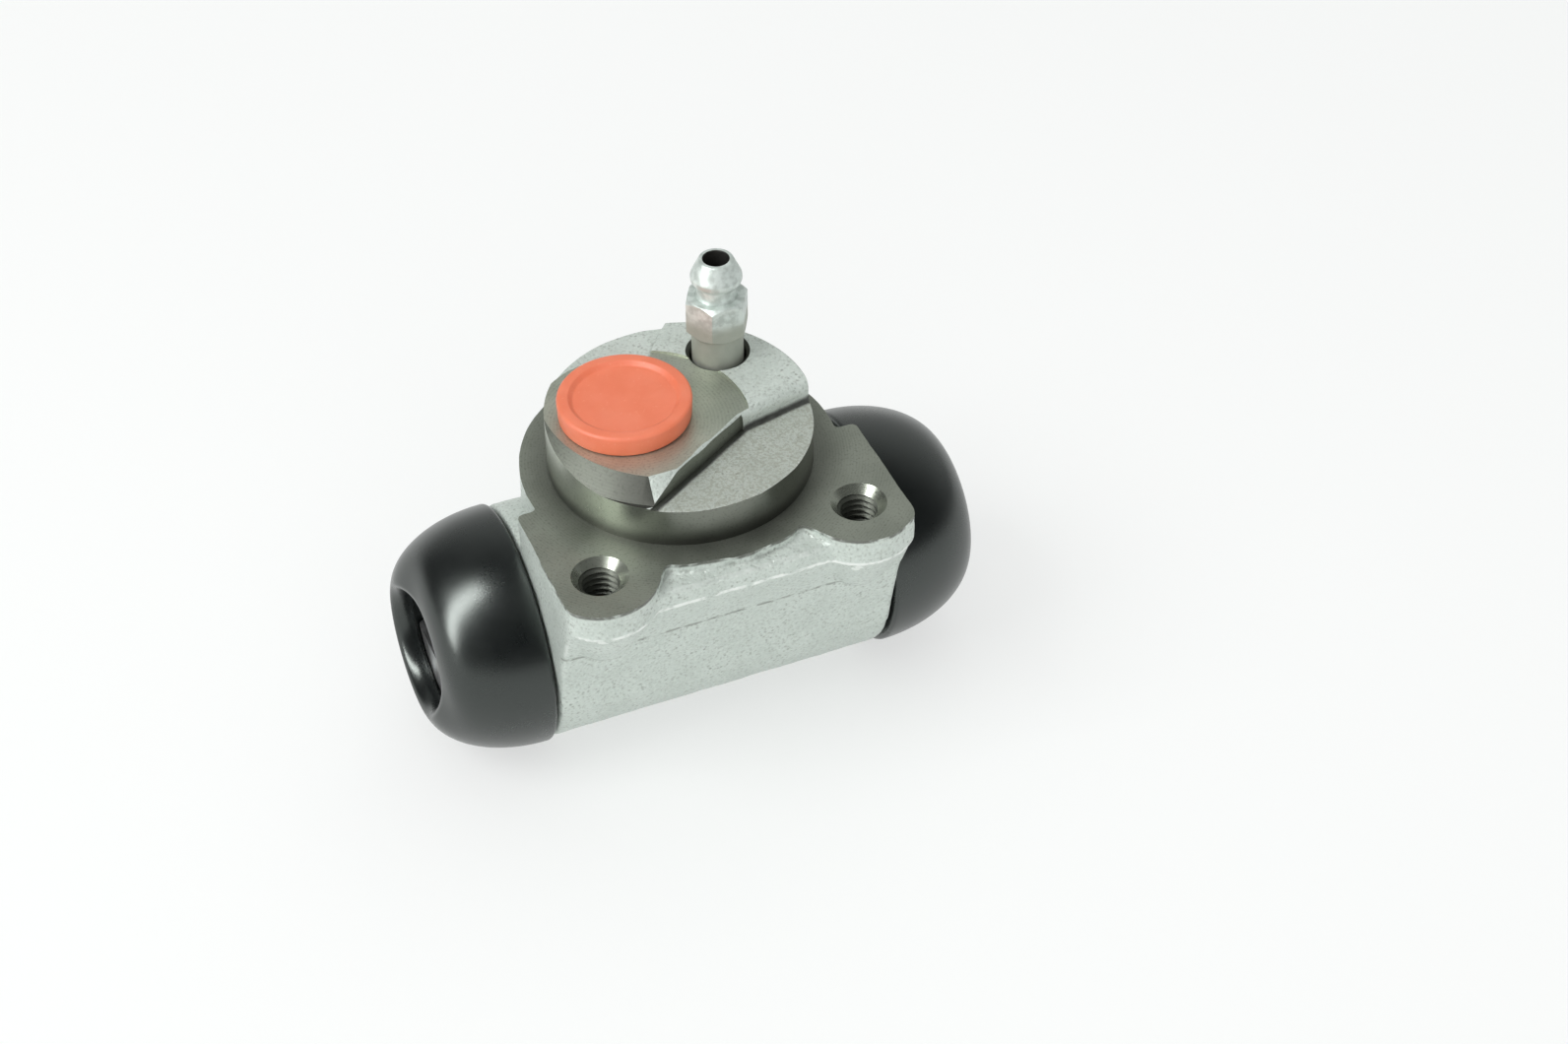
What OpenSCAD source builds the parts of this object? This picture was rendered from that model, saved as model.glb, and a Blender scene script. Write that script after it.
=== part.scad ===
// Drum-brake wheel cylinder: a cast body with two opposed pistons, rubber boots, a bleed screw
// and a push-in plug in the fluid port. Millimetres. The mounting face is z = 0, the spigot points
// up (+Z), the bore runs along X and the two mounting ears lie towards -Y.

/* [Casting] */
// Length of the casting between the two boot shoulders
body_length = 50.5; // [46:0.5:58]
// Radius of the round barrel
barrel_radius = 17; // [16:0.1:18]
// Distance from the mounting face down to the bore axis
bore_depth = 22.4; // [21.5:0.1:25]
// Height of the flat pad that the barrel stands on, below the round barrel
pad_height = 0.8; // [0.6:0.1:2]
// Width of that pad at its foot
pad_width = 11; // [8:0.5:13]

/* [Mounting flange] */
// Radius of the turned disc around the spigot
disc_radius = 22.5; // [21:0.1:24]
// Thickness of the disc and of the flange's front rim
flange_thickness = 4.3; // [3.5:0.1:5.5]
// Distance from the spigot axis to the straight back edge of the machined strip
strip_back = 3; // [1:0.5:6]
// Drop from the machined face to the raw rim between the ears
rim_drop = 1.4; // [0.8:0.1:2.2]
// Distance from the spigot axis to the flange's front rim
rim_front = 24; // [23:0.1:25.5]
// Radius of the rounded front rim
rim_round = 1.2; // [0.4:0.1:1.4]
// Distance from the spigot axis to the crease where the rim's undercut meets the front wall
crease_front = 20; // [19:0.1:21]
// Depth of that crease below the mounting face
crease_depth = 12.4; // [11:0.1:14]
// Radius of the rounded crease
crease_round = 1.6; // [0.5:0.1:2.5]
// Radius of the foot of the disc's tapered root
disc_root_radius = 14; // [12:0.5:15]

/* [Mounting ears] */
// Spacing of the two tapped holes along the bore
hole_spacing = 37.6; // [34:0.1:40]
// Distance from the spigot axis to the line of the holes
hole_offset = 18.6; // [17.5:0.1:20]
// Radius of the holes, tapped M6
hole_radius = 2.5; // [2.1:0.1:3]
// Depth of the holes at full width
hole_depth = 8.5; // [6:0.5:9]
// Radius of the countersink at each hole's mouth
countersink_radius = 3.9; // [3.3:0.1:4.5]
// Radius of each ear
ear_radius = 8.1; // [7.4:0.1:8.6]
// Radius of the ear's tapered root
ear_root_radius = 3.6; // [3.2:0.1:5]
// Direction of the flat side that joins each ear to the disc
ear_side_angle = 56; // [48:1:64]

/* [Spigot] */
// Radius of the spigot that centres the cylinder in the backing plate
spigot_radius = 18.5; // [17.5:0.1:19]
// Height of the spigot above the mounting face
spigot_height = 9.1; // [8:0.1:11]
// Chamfer on the spigot's upper edge
spigot_chamfer = 0.5; // [0.2:0.1:1]
// Depth of the low ledge cut from the spigot's front
ledge_drop = 3; // [2:0.1:4]
// Distance along X from the spigot axis to the bend in the ledge's wall
ledge_corner_x = 7; // [4:0.1:9]
// Distance along -Y from the spigot axis to that bend
ledge_corner_y = 6.5; // [5:0.1:8]
// Direction of the ledge's wall on the port side of the bend
ledge_port_angle = 30.5; // [25:0.5:35]
// Direction of the ledge's wall on the other side of the bend
ledge_end_angle = 9; // [0:0.5:12]
// Depth of the as-cast relief behind the port
relief_drop = 0.7; // [0.3:0.1:1.2]
// Distance along Y from the spigot axis to the relief's edge
relief_y = 12; // [10:0.1:14]
// Direction of that edge
relief_angle = 52; // [40:1:65]
// Margin of full height left between the relief and the plug's head
pad_margin = 3.2; // [2.5:0.1:4]

/* [Fluid port] */
// Distance from the spigot axis to the port along -X
port_x = 7.3; // [6.5:0.1:8.2]
// Distance from the spigot axis to the port along Y
port_y = 1.5; // [0:0.1:2.5]
// Radius of the port, tapped M10
port_radius = 5; // [4:0.1:5.6]
// Depth of the port at full width
port_depth = 12; // [10:0.5:13]
// Radius of the drilling from the port to the bore
feed_radius = 1.5; // [1:0.1:2]
// Radius of the spot face turned around the port
spot_radius = 17; // [13:0.1:17.5]
// Depth of that spot face
spot_depth = 0.3; // [0.1:0.1:0.6]

/* [Port plug] */
// Radius of the plug's head
plug_head_radius = 9.3; // [7.5:0.1:10]
// Height of the head
plug_head_height = 3.1; // [2:0.1:4]
// Width of the raised rim around the head
plug_rim_width = 1.3; // [0.8:0.1:2]
// Depth of the dished top inside that rim
plug_dish = 0.6; // [0.2:0.1:1]
// Length of the plug's hollow stem
plug_stem = 8; // [5:0.5:9]
// Wall of the stem
plug_wall = 1.2; // [0.8:0.1:1.6]
// Taper of the stem on its radius
plug_taper = 0.4; // [0.1:0.1:0.6]

/* [Bleed screw] */
// Distance from the spigot axis to the screw along X
bleed_x = 9.4; // [8.8:0.1:10]
// Distance from the spigot axis to the screw along Y
bleed_y = 9; // [8.4:0.1:9.3]
// Radius of the screw's shank, threaded M8
bleed_radius = 4; // [3.5:0.1:4.3]
// Height of the hexagon's lower face above the spigot
hex_lift = 3.6; // [2.5:0.1:6]
// Width of the hexagon across its flats
hex_flats = 8; // [8:0.1:10]
// Height of the hexagon
hex_height = 6.6; // [4:0.1:8]
// Radius of the neck below the hose nipple
neck_radius = 2.7; // [2.4:0.1:3]
// Radius of the nipple's barb
nipple_radius = 3.5; // [3.2:0.1:4]
// Height of the nipple above the hexagon
nipple_height = 5.8; // [5:0.1:8]
// Length of the taper from the barb up to the nipple's tip
nipple_taper = 2.6; // [1.8:0.1:2.8]
// Length of the barb at full width
barb_length = 0.7; // [0.4:0.1:0.9]
// Length of the cone under the barb
barb_foot = 1; // [0.6:0.1:1.2]
// Radius of the drilling through the screw
bleed_drill = 1; // [0.6:0.1:1.4]
// Radius of the flared mouth of that drilling
bleed_mouth = 1.8; // [1.5:0.1:2]
// Depth of that mouth
bleed_mouth_depth = 3.5; // [2:0.1:4]
// Depth of the screw's conical seat below the spigot's top
seat_depth = 15; // [13:0.5:15]
// Radius of the drilling from the seat to the bore
vent_radius = 1.25; // [0.9:0.05:1.5]

/* [Bore and pistons] */
// Radius of the bore
bore_radius = 10.3; // [9.9:0.1:10.9]
// Running clearance of pistons and seals in the bore
running_clearance = 0.05; // [0.02:0.01:0.09]
// Distance from the middle of the bore to each piston's inner face
piston_inner = 18.5; // [17:0.1:20]
// Distance from each boot shoulder to the piston's outer face
piston_reach = 12.4; // [11.8:0.1:13]
// Thickness of the piston's head outside its boot groove
piston_head = 1.6; // [1.2:0.1:2]
// Radius of that head
head_radius = 9.4; // [9:0.1:9.6]
// Width of the piston's boot groove
piston_groove = 2; // [1.6:0.1:2.2]
// Radius of the bottom of that groove
piston_groove_radius = 8.5; // [8:0.1:8.7]
// Width of the slot that takes the shoe's web
shoe_slot = 6.4; // [5.5:0.1:8]
// Depth of that slot
shoe_slot_depth = 5; // [4.5:0.1:7]

/* [Seals and spring] */
// Thickness of a cup seal's base
cup_base = 3; // [2:0.1:4]
// Length of its lip
cup_lip = 3.5; // [2.5:0.1:4]
// Thickness of the lip at its root
cup_wall = 1.9; // [1.4:0.1:2.4]
// Thickness of a spring seat
seat_sheet = 0.6; // [0.4:0.1:1]
// Height of a spring seat's flared rim
seat_rise = 2.5; // [1.5:0.1:2.5]
// Mean radius of the spring's coil
coil_radius = 4.9; // [4:0.1:5.2]
// Thickness of the spring's wire
wire = 1.2; // [0.8:0.1:1.4]
// Number of turns
turns = 7; // [5:1:9]

/* [Boots] */
// Largest radius of a boot
boot_radius = 17.4; // [16.8:0.1:17.6]
// Length of a boot beyond its shoulder
boot_length = 16; // [15.5:0.1:17]
// Thickness of the boot's rubber
boot_wall = 2; // [1.5:0.1:2.4]
// Radius of the mouth that the brake shoe enters
mouth_radius = 8.5; // [7.5:0.1:8.8]
// Radius of the rounded rim of the mouth
mouth_round = 1.3; // [0.8:0.1:1.6]
// Length of the turned neck that carries a boot
neck_length = 7; // [6:0.1:7.5]
// Radius of that neck
boot_neck_radius = 14.2; // [13.6:0.1:14.6]
// Depth of the neck's groove for the boot's bead
bead_depth = 1.2; // [0.8:0.1:1.6]
// Width of that groove
bead_width = 2; // [1.4:0.1:2.4]
// Distance from the shoulder to the groove
bead_offset = 2; // [1.5:0.1:3]

/* [Hidden] */
$fn = 96;

// Clearances and small allowances that several pieces share
seat_gap = 0.1;
rubber_gap = 0.3;
cut = 0.5;
far = 4 * body_length;
bead_gap = 0.1;
thread_gap = 0.05;
mouth_bevel = 0.5;

// Sizes that follow from the ones above
body_half = body_length / 2;
neck_end = body_half + neck_length;
spigot_top = spigot_height;
spot_z = spigot_top - spot_depth;
port_floor = spot_z - port_depth;
bleed_seat_z = spigot_top - seat_depth;
pad_bottom = -bore_depth - barrel_radius - pad_height;
piston_outer = body_half + piston_reach;
cup_inner = piston_inner - cup_base - cup_lip;
piston_radius = bore_radius - running_clearance;
bore_chamfer = 0.8;
drill_cone = tan(31);

// Unit vector along a direction
function along(v) = v / norm(v);

// Points of the arc that rounds corner b, which lies between a and d, each [x, y, radius]
function corner(a, b, d, steps) =
    let (p = [b[0], b[1]], u = along([a[0], a[1]] - p), v = along([d[0], d[1]] - p))
    let (half = acos(u * v) / 2, middle = p + along(u + v) * b[2] / sin(half))
    let (from = p + u * b[2] / tan(half) - middle, to = p + v * b[2] / tan(half) - middle)
    let (first = atan2(from[1], from[0]), sweep = atan2(to[1], to[0]) - first)
    let (turn = sweep > 180 ? sweep - 360 : sweep < -180 ? sweep + 360 : sweep)
    b[2] == 0 ? [p]
    : [for (k = [0:steps]) middle + b[2] * [cos(first + turn * k / steps), sin(first + turn * k / steps)]];

// Outline with rounded corners, from a list of [x, y, radius]
function rounded(c, steps = 5) =
    let (n = len(c))
    [for (i = [0:n - 1]) each corner(c[(i + n - 1) % n], c[i], c[(i + 1) % n], steps)];

// Stretch of an ellipse as [radius, length] points, for turned rubber shapes
function dome(base_r, base_s, rise_r, rise_s, first, last, steps) =
    [for (k = [0:steps])
        let (t = first + (last - first) * k / steps)
        [base_r + rise_r * cos(t), base_s + rise_s * sin(t)]];

// Turn a profile of [radius, x] points about the bore axis
module turned(points) {
    translate([0, 0, -bore_depth])
        rotate([0, 90, 0])
            rotate_extrude()
                polygon(points);
}

// A round bar along the bore axis from x = first to x = last
module bar(radius, first, last) {
    translate([first, 0, -bore_depth])
        rotate([0, 90, 0])
            cylinder(r = radius, h = last - first);
}

// Cross-section of the casting in the YZ plane: round barrel, front wall, undercut rim and foot pad
module casting_section() {
    reach = norm([crease_front, bore_depth - crease_depth]);
    lean = atan2(bore_depth - crease_depth, -crease_front) + acos(barrel_radius / reach);
    touch = barrel_radius * [cos(lean), sin(lean)] - [0, bore_depth];
    pad_top = -bore_depth - sqrt(pow(barrel_radius, 2) - pow(pad_width / 2 + pad_height, 2));
    translate([0, -bore_depth])
        circle(r = barrel_radius);
    polygon(rounded([
        [-strip_back, 0, 0],
        [-hole_offset, 0, 0],
        [-hole_offset - rim_drop, -rim_drop, 0],
        [-rim_front, -rim_drop, rim_round],
        [-rim_front, -flange_thickness, rim_round],
        [-crease_front, -crease_depth, crease_round],
        [touch[0], touch[1], 0],
        [0, -bore_depth, 0],
        [-strip_back, -bore_depth, 0]
    ]));
    polygon([
        [-pad_width / 2 - pad_height, pad_top],
        [-pad_width / 2, pad_bottom],
        [pad_width / 2, pad_bottom],
        [pad_width / 2 + pad_height, pad_top]
    ]);
}

// Outline of the ear on the port side, with the flat that runs on to the disc
module ear_outline() {
    side = [cos(ear_side_angle), sin(ear_side_angle)];
    start = ear_radius * [sin(ear_side_angle), -cos(ear_side_angle)];
    run = ear_radius;
    circle(r = ear_radius);
    polygon([[0, 0], start, start + run * side, [0, run]]);
}

// One tapped ear: straight rim, then a taper into the front wall
module ear() {
    translate([-hole_spacing / 2, -hole_offset, 0]) {
        translate([0, 0, -flange_thickness])
            linear_extrude(height = flange_thickness)
                ear_outline();
        translate([0, 0, -crease_depth])
            cylinder(r1 = ear_root_radius, r2 = ear_radius, h = crease_depth - flange_thickness);
    }
}

// Both sides of something drawn for the port side
module both_sides() {
    children();
    mirror([1, 0, 0])
        children();
}

// The mounting flange: turned disc on a tapered root, and two ears trimmed to the casting's ends
module flange() {
    translate([0, 0, -flange_thickness])
        cylinder(r = disc_radius, h = flange_thickness);
    translate([0, 0, -crease_depth - cut])
        cylinder(r1 = disc_root_radius, r2 = disc_radius, h = crease_depth + cut - flange_thickness);
    intersection() {
        both_sides()
            ear();
        translate([-body_half, -far / 2, -far / 2])
            cube([body_length, far, far]);
    }
}

// Turned neck at the right end of the casting, grooved for the boot's bead
module boot_neck() {
    edge = 0.6;
    root = boot_neck_radius - bead_depth;
    groove = body_half + bead_offset;
    turned([
        [0, body_half - cut],
        [boot_neck_radius, body_half - cut],
        [boot_neck_radius, groove],
        [root, groove],
        [root, groove + bead_width],
        [boot_neck_radius, groove + bead_width],
        [boot_neck_radius, neck_end - edge],
        [boot_neck_radius - edge, neck_end],
        [0, neck_end]
    ]);
}

// The spigot, with its low front ledge, the spot face round the port and the relief behind it
module spigot() {
    ledge = [ledge_corner_x, -ledge_corner_y];
    port_way = far * [cos(ledge_port_angle), sin(ledge_port_angle)];
    end_way = far * [cos(ledge_end_angle), sin(ledge_end_angle)];
    port_pad = plug_head_radius + pad_margin;
    difference() {
        union() {
            cylinder(r = spigot_radius, h = spigot_height - spigot_chamfer);
            translate([0, 0, spigot_height - spigot_chamfer])
                cylinder(r1 = spigot_radius, r2 = spigot_radius - spigot_chamfer, h = spigot_chamfer);
        }
        translate([0, 0, spigot_top - ledge_drop])
            linear_extrude(height = ledge_drop + cut)
                polygon([ledge, ledge + end_way, [far, -far], [-far, -far], ledge - port_way]);
        translate([-port_x, port_y, spot_z])
            cylinder(r = spot_radius, h = spot_depth + cut);
        translate([0, 0, spot_z - relief_drop])
            difference() {
                translate([0, relief_y, 0])
                    rotate([0, 0, relief_angle])
                        translate([-far, 0, 0])
                            cube([2 * far, far, relief_drop + spot_depth + cut]);
                translate([-port_x, port_y, -cut])
                    cylinder(r = port_pad, h = relief_drop + spot_depth + 3 * cut);
            }
    }
}

// A drilled hole with a cone-shaped floor, from its mouth at the origin down
module drilled(radius, depth, drill_point) {
    translate([0, 0, -depth])
        cylinder(r = radius, h = depth + cut);
    translate([0, 0, -depth - drill_point])
        cylinder(r1 = 0, r2 = radius, h = drill_point);
}

// Countersink at a hole's mouth
module countersink(radius, hole) {
    translate([0, 0, hole - radius])
        cylinder(r1 = hole, r2 = radius, h = radius - hole);
    cylinder(r = radius, h = cut);
}

// The fluid port and its drilling into the top of the bore
module port_hole() {
    translate([-port_x, port_y, spot_z]) {
        drilled(port_radius, port_depth, port_radius * drill_cone);
        countersink(port_radius + mouth_bevel, port_radius);
    }
    translate([-port_x, port_y, -bore_depth])
        cylinder(r = feed_radius, h = port_floor + bore_depth);
}

// The bleed screw's hole: tapped length, conical seat and a drilling to the high side of the bore
module bleed_hole() {
    hole = bleed_radius + thread_gap;
    translate([bleed_x, bleed_y, 0]) {
        translate([0, 0, bleed_seat_z])
            cylinder(r = hole, h = seat_depth + cut);
        translate([0, 0, bleed_seat_z - hole])
            cylinder(r1 = 0, r2 = hole, h = hole);
        translate([0, 0, spigot_top])
            countersink(hole + mouth_bevel, hole);
        translate([0, 0, -bore_depth])
            cylinder(r = vent_radius, h = bleed_seat_z + bore_depth);
    }
}

// Tapped mounting hole in the port-side ear
module mounting_hole() {
    translate([-hole_spacing / 2, -hole_offset, 0]) {
        drilled(hole_radius, hole_depth, hole_radius * drill_cone);
        countersink(countersink_radius, hole_radius);
    }
}

// The bore from end to end, with a chamfered mouth
module bore() {
    bar(bore_radius, -neck_end - cut, neck_end + cut);
    both_sides()
        turned([
            [0, neck_end - bore_chamfer],
            [bore_radius, neck_end - bore_chamfer],
            [bore_radius + bore_chamfer + cut, neck_end + cut],
            [0, neck_end + cut]
        ]);
}

// One-piece casting, machined on its flange, spigot, ports, necks and bore
module housing() {
    color("#c6cac4")
        difference() {
            union() {
                rotate([90, 0, 90])
                    linear_extrude(height = body_length, center = true)
                        casting_section();
                flange();
                spigot();
                both_sides()
                    boot_neck();
            }
            bore();
            port_hole();
            bleed_hole();
            both_sides()
                mounting_hole();
        }
}

// Right-hand piston: bearing land, boot groove, and a slotted head for the shoe's web
module piston() {
    edge = 0.5;
    groove_end = piston_outer - piston_head;
    groove_start = groove_end - piston_groove;
    color("#9a9fa3")
        difference() {
            turned([
                [0, piston_inner],
                [piston_radius - edge, piston_inner],
                [piston_radius, piston_inner + edge],
                [piston_radius, groove_start - edge],
                [piston_radius - edge, groove_start],
                [piston_groove_radius, groove_start],
                [piston_groove_radius, groove_end],
                [head_radius, groove_end],
                [head_radius, piston_outer - edge],
                [head_radius - edge, piston_outer],
                [0, piston_outer]
            ]);
            translate([piston_outer - shoe_slot_depth, -far / 2, -bore_depth - shoe_slot / 2])
                cube([far, far, shoe_slot]);
        }
}

// Right-hand cup seal: flat base against the piston and a tapered lip towards the fluid
module cup_seal() {
    base = piston_inner - seat_gap;
    floor = base - cup_base;
    lip_edge = piston_radius - cup_wall / 2;
    color("#1c1f22")
        turned([
            [0, floor],
            [piston_radius - cup_wall, floor],
            [lip_edge, cup_inner],
            [piston_radius, cup_inner + cup_wall / 3],
            [piston_radius, base - cup_base / 3],
            [piston_radius - cup_base / 6, base],
            [0, base]
        ]);
}

// Right-hand spring seat: pressed sheet that spreads the cup's lip and centres the spring
module spring_seat() {
    back = piston_inner - cup_base - 2 * seat_gap;
    flat = coil_radius + wire;
    flare = piston_radius - cup_wall - seat_sheet - seat_gap;
    color("#b9a45c")
        turned([
            [0, back - seat_sheet],
            [flat, back - seat_sheet],
            [flare - seat_sheet, back - seat_rise],
            [flare, back - seat_rise],
            [flat + seat_sheet, back],
            [0, back]
        ]);
}

// Point and cross-section frame of the coil, a share t of the way along it
function coil_point(t, half, radius) =
    [half * (2 * t - 1), radius * cos(360 * turns * t), radius * sin(360 * turns * t)];

// Return spring between the two spring seats, swept as rings along a helix
module return_spring() {
    sides = 8;
    rings = turns * 14;
    half = piston_inner - cup_base - 2 * seat_gap - seat_sheet - wire / 2 - seat_gap;
    points = [for (i = [0:rings])
        let (t = i / rings, a = 360 * turns * t, p = coil_point(t, half, coil_radius))
        for (k = [0:sides - 1])
            let (b = 360 * k / sides, out = wire / 2 * cos(b))
            p + [wire / 2 * sin(b), out * cos(a), out * sin(a)]];
    walls = [for (i = [0:rings - 1], k = [0:sides - 1])
        let (n = (k + 1) % sides)
        [i * sides + k, i * sides + n, (i + 1) * sides + n, (i + 1) * sides + k]];
    first = [for (k = [sides - 1:-1:0]) k];
    last = [for (k = [0:sides - 1]) rings * sides + k];
    color("#8d9296")
        translate([0, 0, -bore_depth])
            polyhedron(points = points, faces = concat([first], walls, [last]));
}

// Right-hand boot: bead on the casting's neck, domed wall, rolled mouth and a lip in the piston's groove
module boot() {
    start = body_half + rubber_gap;
    shoulder = 0.6;
    dome_base = body_half + rubber_gap + shoulder;
    dome_rise = body_half + boot_length - dome_base;
    rim_end = acos(mouth_round / (boot_radius - mouth_radius));
    rim_x = dome_base + dome_rise * sin(rim_end) - mouth_round;
    rim_start = 112;
    bore_fit = boot_neck_radius + bead_gap;
    bead_fit = bore_fit - bead_depth;
    bead_start = body_half + bead_offset + bead_gap;
    bead_end = body_half + bead_offset + bead_width - bead_gap;
    groove_end = piston_outer - piston_head;
    groove_start = groove_end - piston_groove;
    lip_radius = piston_groove_radius + rubber_gap;
    tunnel = head_radius + rubber_gap;
    fold = tunnel + boot_wall;
    fold_angle = 54;
    neck_angle = asin((neck_end + rubber_gap - dome_base) / (dome_rise - boot_wall));
    color("#23272a")
        turned(concat(
            [[bore_fit, start], [boot_radius - shoulder, start]],
            dome(mouth_radius, dome_base, boot_radius - mouth_radius, dome_rise, 0, rim_end, 14),
            dome(mouth_radius + mouth_round, rim_x, mouth_round, mouth_round, rim_start, 180, 3),
            [[mouth_radius, piston_outer + 3 * rubber_gap]],
            [[tunnel, piston_outer + rubber_gap], [tunnel, groove_end - rubber_gap]],
            [[lip_radius, groove_end - rubber_gap], [lip_radius, groove_start + rubber_gap]],
            [[fold, groove_start + rubber_gap]],
            dome(mouth_radius, dome_base, boot_radius - mouth_radius - boot_wall, dome_rise - boot_wall,
                 fold_angle, neck_angle, 6),
            [[bore_fit, neck_end + rubber_gap], [bore_fit, bead_end], [bead_fit, bead_end]],
            [[bead_fit, bead_start], [bore_fit, bead_start]]
        ));
}

// Bleed screw: drilled through, sealing cone at its foot, hexagon and barbed hose nipple above
module bleed_screw() {
    tip_flat = vent_radius + seat_gap * 2;
    cone = bleed_radius - tip_flat;
    foot = bleed_seat_z + seat_gap;
    hex_low = spigot_top + hex_lift;
    hex_top = hex_low + hex_height;
    corner_radius = hex_flats / 2 / cos(30);
    top = hex_top + nipple_height;
    barb_top = top - nipple_taper;
    barb_low = barb_top - barb_length;
    tip_wall = 0.6;
    tip_edge = 0.2;
    hex_bevel = corner_radius - hex_flats / 2;
    cross_z = foot + bleed_radius;
    color("#d5d8d6")
        translate([bleed_x, bleed_y, 0])
            difference() {
                union() {
                    rotate_extrude()
                        polygon([
                            [0, foot - cone],
                            [tip_flat, foot - cone],
                            [bleed_radius, foot],
                            [bleed_radius, hex_low + cut],
                            [0, hex_low + cut]
                        ]);
                    intersection() {
                        translate([0, 0, hex_low])
                            cylinder(r = corner_radius, h = hex_height, $fn = 6);
                        rotate_extrude()
                            polygon([
                                [0, hex_low],
                                [hex_flats / 2, hex_low],
                                [corner_radius, hex_low + hex_bevel],
                                [corner_radius, hex_top - hex_bevel],
                                [hex_flats / 2, hex_top],
                                [0, hex_top]
                            ]);
                    }
                    rotate_extrude()
                        polygon([
                            [0, hex_top - cut],
                            [neck_radius, hex_top - cut],
                            [neck_radius, barb_low - barb_foot],
                            [nipple_radius, barb_low],
                            [nipple_radius, barb_top],
                            [bleed_mouth + tip_wall, top - tip_edge],
                            [bleed_mouth + tip_wall - tip_edge, top],
                            [0, top]
                        ]);
                }
                translate([0, 0, cross_z - bleed_drill])
                    cylinder(r = bleed_drill, h = far);
                translate([0, 0, top - bleed_mouth_depth])
                    cylinder(r = bleed_mouth, h = far);
                translate([0, 0, cross_z])
                    rotate([0, 90, 0])
                        cylinder(r = bleed_drill, h = 2 * bleed_radius, center = true);
            }
}

// Push-in plug that closes the fluid port: dished head with a raised rim on a hollow tapered stem
module port_plug() {
    seat = spot_z + seat_gap;
    top = seat + plug_head_height;
    edge = 0.4;
    stem = port_radius - seat_gap;
    color("#e8714a")
        translate([-port_x, port_y, 0])
            rotate_extrude()
                polygon([
                    [0, top - plug_dish],
                    [plug_head_radius - plug_rim_width - plug_dish, top - plug_dish],
                    [plug_head_radius - plug_rim_width, top],
                    [plug_head_radius - edge, top],
                    [plug_head_radius, top - edge],
                    [plug_head_radius, seat + edge],
                    [plug_head_radius - edge, seat],
                    [stem, seat],
                    [stem - plug_taper, seat - plug_stem],
                    [stem - plug_taper - plug_wall, seat - plug_stem],
                    [stem - plug_wall, seat],
                    [0, seat]
                ]);
}

housing();
mirror([1, 0, 0]) piston();  // left_piston
piston();  // right_piston
mirror([1, 0, 0]) cup_seal();  // left_cup_seal
cup_seal();  // right_cup_seal
mirror([1, 0, 0]) spring_seat();  // left_spring_seat
spring_seat();  // right_spring_seat
return_spring();
mirror([1, 0, 0]) boot();  // left_boot
boot();  // right_boot
bleed_screw();
port_plug();
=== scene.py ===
import math

import bmesh
import bpy
import numpy as np
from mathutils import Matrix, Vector


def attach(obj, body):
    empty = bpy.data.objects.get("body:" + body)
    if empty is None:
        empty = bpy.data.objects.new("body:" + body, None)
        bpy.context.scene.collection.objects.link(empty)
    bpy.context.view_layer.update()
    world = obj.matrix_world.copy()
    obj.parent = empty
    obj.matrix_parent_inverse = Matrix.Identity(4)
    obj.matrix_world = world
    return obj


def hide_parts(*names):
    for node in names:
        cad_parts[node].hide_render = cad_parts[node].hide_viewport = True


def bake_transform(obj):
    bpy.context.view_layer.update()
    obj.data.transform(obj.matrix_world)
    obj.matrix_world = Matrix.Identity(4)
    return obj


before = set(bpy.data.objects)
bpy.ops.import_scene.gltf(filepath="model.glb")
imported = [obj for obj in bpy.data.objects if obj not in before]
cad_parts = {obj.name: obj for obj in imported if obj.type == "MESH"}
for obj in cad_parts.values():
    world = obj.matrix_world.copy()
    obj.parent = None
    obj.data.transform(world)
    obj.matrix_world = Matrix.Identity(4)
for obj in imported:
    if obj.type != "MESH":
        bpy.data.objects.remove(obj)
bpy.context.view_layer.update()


# The body starts as one sand casting in grey iron: a round barrel with a front wall, a flange with two
# ears and a raised boss. It is shot-blasted and thinly coated, and most of its outside stays like that.
mm = 0.001
body_half, bore_z, barrel_radius = 25.25, -22.4, 17.0
pad_bottom, pad_height, pad_half, pad_slope = -40.2, 5.0, 5.5, 0.4
flange_low, disc_radius, root_radius, root_low = -4.3, 22.5, 14.0, -12.9
strip_back, strip_front, rim_back, rim_front, rim_top = -3.0, -18.6, -10.0, -24.0, -1.4
crease, wall_foot = (-20.0, -12.4), (-16.5, -26.5)
hole_x, hole_y, ear_radius, ear_root = 18.8, -18.6, 8.1, 3.6
ear_side = math.radians(56)
stock, boss_stock, front_limit, back_limit, skin_inset = 1.2, 1.0, -26.67, 22.47, 0.08
spigot_radius, spigot_top, ledge_z, relief_z = 18.5, 9.1, 6.1, 8.1
ledge_corner, ledge_ways = (7.7, -4.9), (math.radians(31.5), math.radians(12.5))
relief_y, relief_front, relief_way = 12.0, 2.0, math.radians(52)
port, port_pad = (-7.3, 1.5), 12.5
front_side = -12.0
grid_low, grid_high, grid_step = (-26.5, -28.0, -41.5), (26.5, 24.0, 10.5), 0.42
chance = np.random.default_rng(11)


def merged(first, second, fillet):
    """Union of two distance fields, with a cast fillet in the corner between them."""
    share = np.clip(0.5 + 0.5 * (second - first) / fillet, 0, 1)
    return second + (first - second) * share - fillet * share * (1 - share)


def trimmed(first, second, edge):
    """Overlap of two distance fields, with its edge rounded."""
    return -merged(-first, -second, edge)


def past_line(u, v, start, end):
    """Distance beyond the line from start to end, on its left."""
    du, dv = end[0] - start[0], end[1] - start[1]
    return ((v - start[1]) * du - (u - start[0]) * dv) / math.hypot(du, dv)


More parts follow.
